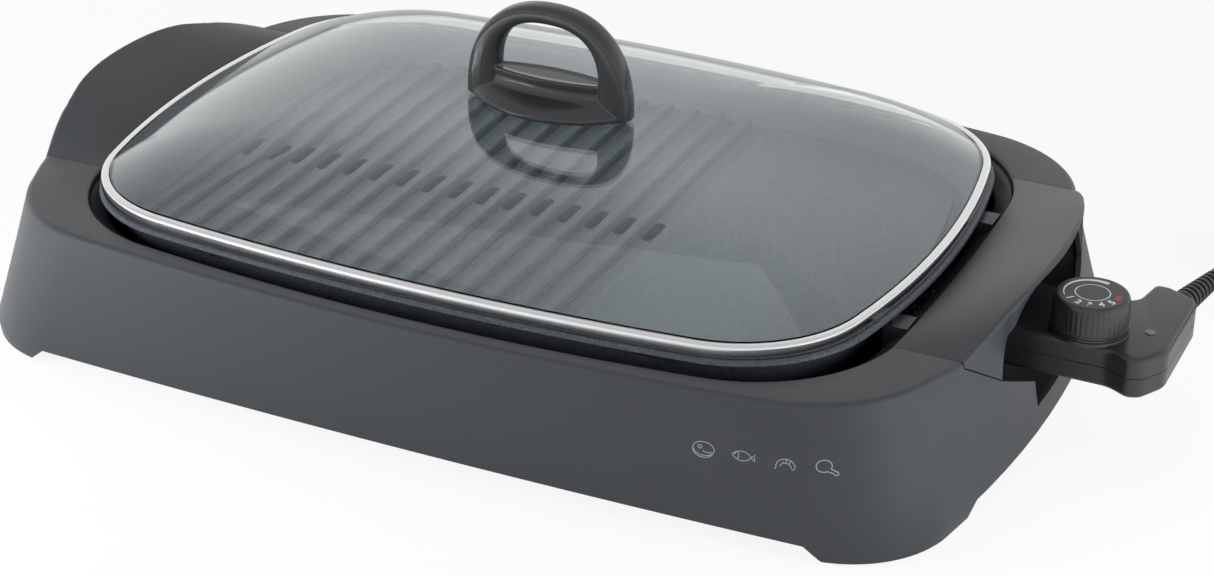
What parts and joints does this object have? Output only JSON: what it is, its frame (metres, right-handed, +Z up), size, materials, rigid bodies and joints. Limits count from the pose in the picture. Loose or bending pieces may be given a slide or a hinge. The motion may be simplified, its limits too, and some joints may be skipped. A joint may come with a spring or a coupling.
{
  "type": "electric indoor grill with lid",
  "caption": "Low rectangular table grill with arched end grips, ribbed and flat cooking plate, domed glass lid with arch knob, and a plug-in dial thermostat on a mains cord.",
  "frame": {"origin": "middle of the object's footprint on the table, measured without its cord", "axes": "+X along the length to the thermostat's end, +Y to the back, +Z up"},
  "size_m": [0.756, 0.461, 0.1779],
  "materials": {
    "housing_plastic": "charcoal moulded plastic, satin",
    "inner_plastic": "dark heat-proof plastic",
    "gloss_black": "black polished plastic",
    "case_plastic": "near-black semi-gloss plastic",
    "nonstick": "cast aluminium with dark non-stick coating",
    "tray_metal": "dark coated sheet",
    "sheet_steel": "plain sheet steel",
    "band_steel": "polished stainless steel",
    "heater_sheath": "oxidised heater sheath",
    "lid_glass": "clear tempered glass",
    "silicone": "black silicone",
    "cord_rubber": "black cord jacket",
    "ceramic": "white ceramic",
    "phenolic": "brown phenolic",
    "brass": "plain brass",
    "copper_alloy": "spring bronze",
    "face_print": "printed dial face",
    "lens": "clear pilot lens",
    "lamp": "neon lamp",
    "wire": "insulated leads",
    "fuse_red": "fuse cover"
  },
  "bodies": {
    "base": {"foot_pads": "silicone", "base_housing": "housing_plastic", "base_floor": "inner_plastic", "floor_screws": "sheet_steel", "left_grip": "housing_plastic", "right_grip": "housing_plastic", "left_cup": "inner_plastic", "right_cup": "inner_plastic", "grip_screws": "sheet_steel", "heat_shield": "sheet_steel", "drip_tray": "tray_metal", "plate_pads": "silicone", "grill_plate": "nonstick", "heating_element": "heater_sheath", "element_clips": "sheet_steel", "heater_screws": "sheet_steel", "terminal_bushes": "ceramic", "terminal_pins": "sheet_steel", "terminal_guard": "sheet_steel", "sensor_channel": "sheet_steel"},
    "lid": {"lid_glass": "lid_glass", "lid_band": "band_steel", "lid_gasket": "silicone", "lid_knob": "gloss_black", "knob_seat": "silicone", "knob_bush": "silicone", "knob_washer": "sheet_steel", "knob_screw": "sheet_steel"},
    "probe": {"lower_case": "case_plastic", "upper_case": "case_plastic", "case_screws": "sheet_steel", "contact_block": "phenolic", "contact_sleeves": "brass", "sensor_rod": "sheet_steel", "thermostat_frame": "sheet_steel", "contact_springs": "copper_alloy", "contact_rivets": "brass", "pilot_lens": "lens", "pilot_lamp": "lamp", "lead_wires": "wire", "cord_clamp": "inner_plastic", "strain_relief": "cord_rubber", "cord_run": "cord_rubber", "cord_coil": "cord_rubber", "cord_tie": "silicone", "plug_body": "cord_rubber", "plug_pins": "brass", "plug_fuse": "ceramic", "fuse_cover": "fuse_red"},
    "dial": {"dial": "case_plastic", "dial_face": "face_print", "dial_spindle": "sheet_steel"}
  },
  "joints": [
    {"name": "lid_lift", "type": "slide", "parent": "base", "child": "lid", "axis": [0, 0, 1], "range_m": [0, 0.15]},
    {"name": "probe_pull", "type": "slide", "parent": "base", "child": "probe", "axis": [1, 0, 0], "range_m": [0, 0.13]},
    {"name": "dial_turn", "type": "hinge", "parent": "probe", "child": "dial", "pos_m": [0.2666, -0.012, 0.07], "axis": [0, 0, 1], "range_deg": [-270, 0]}
  ]
}
